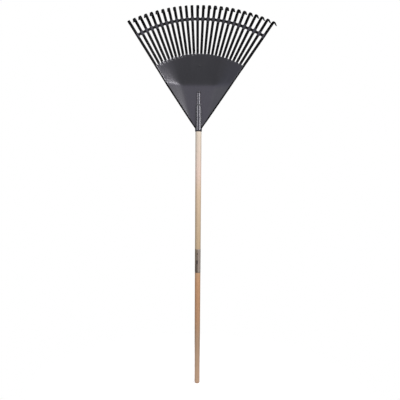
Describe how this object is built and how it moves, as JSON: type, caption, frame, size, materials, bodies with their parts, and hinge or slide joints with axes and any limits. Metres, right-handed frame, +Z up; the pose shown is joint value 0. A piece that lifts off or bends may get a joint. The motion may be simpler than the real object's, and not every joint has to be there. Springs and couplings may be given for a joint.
{
  "type": "leaf rake",
  "caption": "Leaf rake with a fan-shaped black plastic head of long hooked tines, a cross brace and a tapered socket, on a straight wooden handle.",
  "frame": {"origin": "centre of the small flat on the handle's domed butt end", "axes": "+Z up along the handle towards the head, +X across the fan, -Y towards the ground side, where the hooks point"},
  "size_m": [0.6046, 0.1604, 1.6012],
  "materials": {
    "black_plastic": "semi-gloss moulded black plastic with fine flow marks",
    "wood": "clear-lacquered straight-grained wood, warmer towards the butt",
    "label_film": "satin film band with plain printed bars",
    "zinc_steel": "zinc-plated steel"
  },
  "bodies": {
    "root": {"handle": "wood", "wrap_label": "label_film", "fixing_screw": "zinc_steel", "socket": "black_plastic", "web_plate": "black_plastic", "edge_rib_left": "black_plastic", "edge_rib_right": "black_plastic", "brace": "black_plastic", "tine_01": "black_plastic", "tine_02": "black_plastic", "tine_03": "black_plastic", "tine_04": "black_plastic", "tine_05": "black_plastic", "tine_06": "black_plastic", "tine_07": "black_plastic", "tine_08": "black_plastic", "tine_09": "black_plastic", "tine_10": "black_plastic", "tine_11": "black_plastic", "tine_12": "black_plastic", "tine_13": "black_plastic", "tine_14": "black_plastic", "tine_15": "black_plastic", "tine_16": "black_plastic", "tine_17": "black_plastic", "tine_18": "black_plastic", "tine_19": "black_plastic", "tine_20": "black_plastic", "tine_21": "black_plastic", "tine_22": "black_plastic", "tine_23": "black_plastic", "tine_24": "black_plastic", "tine_25": "black_plastic", "tine_26": "black_plastic"}
  },
  "joints": []
}
